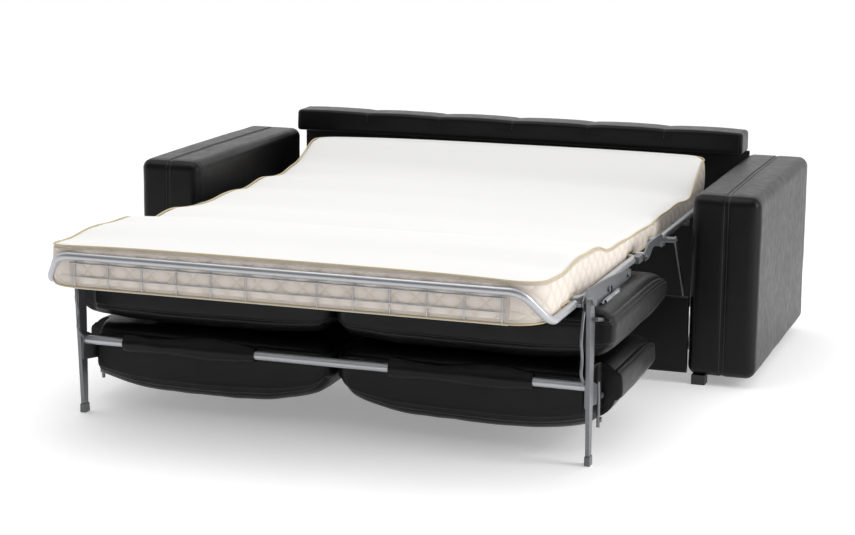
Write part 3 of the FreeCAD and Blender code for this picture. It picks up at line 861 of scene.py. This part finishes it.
ROD_BENDS = (
    (-0.946, 0.426), (-0.960, 0.400), (-0.972, 0.350), (-0.960, 0.305),
    (-0.966, 0.262), (-0.944, 0.236), (-0.930, 0.224),
)
LEVER_BENDS = ((-0.925, 0.402), (-0.83, 0.381), (-0.700, 0.372))
BAR_BENDS = ((-0.812, 0.205), (-0.806, 0.150), (-0.804, 0.075))
rods, levers, bars = [], [], []
for sign in (-1, 1):
    rods.append(smooth_path(at_side(sign * 0.7385, ROD_BENDS), 8))
    levers.append(at_side(sign * 0.7655, LEVER_BENDS))
    bars.append(at_side(sign * 0.7465, BAR_BENDS))
for name, paths, radius, body in (
    ("bent_rods", rods, 0.0042, "legs"),
    ("levers", levers, 0.0055, "seat"),
    ("cushion_bars", bars, 0.005, "back"),
):
    obj = tubes(name, paths, radius, FINISH["grey_steel"], 10)
    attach(obj, body)

TURNS, COIL_RADIUS, COIL_WIRE = 26, 0.0062, 0.0013
COIL_START, COIL_LENGTH, COIL_HEIGHT = -0.762 + SHIFT, 0.144, 0.414
HOOK_BENDS = ((-0.7775, 0.4098), (-0.7842, 0.4125), (-0.7815, 0.4182), (-0.770, 0.4195))
TAIL_BENDS = ((-0.610, 0.4195), (-0.5985, 0.4182), (-0.5958, 0.4125), (-0.6025, 0.4098))
coils = []
for sign in (-1, 1):
    steps = np.linspace(0, 2 * math.pi * TURNS, TURNS * 14)
    x = sign * 0.746
    coil_x = x + COIL_RADIUS * np.sin(steps)
    coil_y = COIL_START + COIL_LENGTH * steps / steps[-1]
    coil_z = COIL_HEIGHT + COIL_RADIUS * np.cos(steps)
    hook, tail = smooth_path(at_side(x, HOOK_BENDS), 6), smooth_path(at_side(x, TAIL_BENDS), 6)
    coils.append(np.concatenate([hook, np.stack([coil_x, coil_y, coil_z], axis=1), tail]))
springs = tubes("leg_springs", coils, COIL_WIRE, FINISH["bright_steel"], 8)
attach(springs, "seat")

# %% [markdown]
# ## Floor, light and camera
# The photograph is a cut-out on white, so the floor is white and the light is broad. The room is
# darker behind the camera, so that black leather stays black on the faces turned to it.

# %%
floor = piece(
    "floor", [(-9, -9, 0), (9, -9, 0), (9, 9, 0), (-9, 9, 0)], [(0, 1, 2, 3)],
    [plain("white_floor", (0.96, 0.96, 0.96), 1.0, 3, 0.0)],
)
floor_shader = floor.data.materials[0].node_tree.nodes["Principled BSDF"]
floor_shader.inputs["Emission Color"].default_value = (1, 1, 1, 1)
floor_shader.inputs["Emission Strength"].default_value = 0.3
bpy.data.objects.remove(STITCH)
bpy.data.objects.remove(BOLT)
bpy.data.objects.remove(upright)

world = bpy.data.worlds.new("white_room")
bpy.context.scene.world = world
world.use_nodes = True
tree = world.node_tree
split = tree.nodes.new("ShaderNodeSeparateXYZ")
tree.links.new(tree.nodes.new("ShaderNodeTexCoord").outputs["Generated"], split.inputs[0])
ahead = (Value(tree, split.outputs[1]) + 0.62) * 1.7
ahead.socket.node.use_clamp = True
tones = tree.nodes.new("ShaderNodeMix")
tones.data_type = "RGBA"
tones.inputs[6].default_value = (0.16, 0.16, 0.165, 1)
tones.inputs[7].default_value = (1, 1, 1, 1)
tree.links.new(ahead.socket, tones.inputs[0])
tree.links.new(tones.outputs[2], tree.nodes["Background"].inputs["Color"])
tree.nodes["Background"].inputs["Strength"].default_value = 1.0


def soft_light(name, place, aim, width, height, power):
    data = bpy.data.lights.new(name, "AREA")
    data.shape = "RECTANGLE"
    data.size, data.size_y = width, height
    data.energy = power
    lamp = bpy.data.objects.new(name, data)
    lamp.location = place
    lamp.rotation_mode = "QUATERNION"
    lamp.rotation_quaternion = (Vector(aim) - Vector(place)).to_track_quat("-Z", "Y")
    bpy.context.scene.collection.objects.link(lamp)


soft_light("overhead", (-0.6, -0.6, 3.2), (0, 0, 0.4), 3.0, 2.0, 26)
soft_light("right_side", (3.4, -0.6, 1.5), (0.8, 0.3, 0.35), 1.0, 1.8, 34)

AZIMUTH, ELEVATION, ROLL = (math.radians(angle) for angle in (19.04, 11.77, 0.45))
toward_camera = Vector(
    (
        math.sin(AZIMUTH) * math.cos(ELEVATION),
        -math.cos(AZIMUTH) * math.cos(ELEVATION),
        math.sin(ELEVATION),
    )
)
camera_data = bpy.data.cameras.new("photo_view")
camera_data.sensor_width = 36
camera_data.lens = 88.83
camera_data.clip_end = 50
camera = bpy.data.objects.new("photo_view", camera_data)
bpy.context.scene.collection.objects.link(camera)
camera.location = (2.102, -6.156 + SHIFT, 1.659)
camera.rotation_mode = "QUATERNION"
upright_view = (-toward_camera).to_track_quat("-Z", "Y").to_matrix().to_4x4()
camera.rotation_quaternion = (upright_view @ Matrix.Rotation(ROLL, 4, "Z")).to_quaternion()
bpy.context.scene.camera = camera
bpy.context.scene.view_settings.view_transform = "Standard"
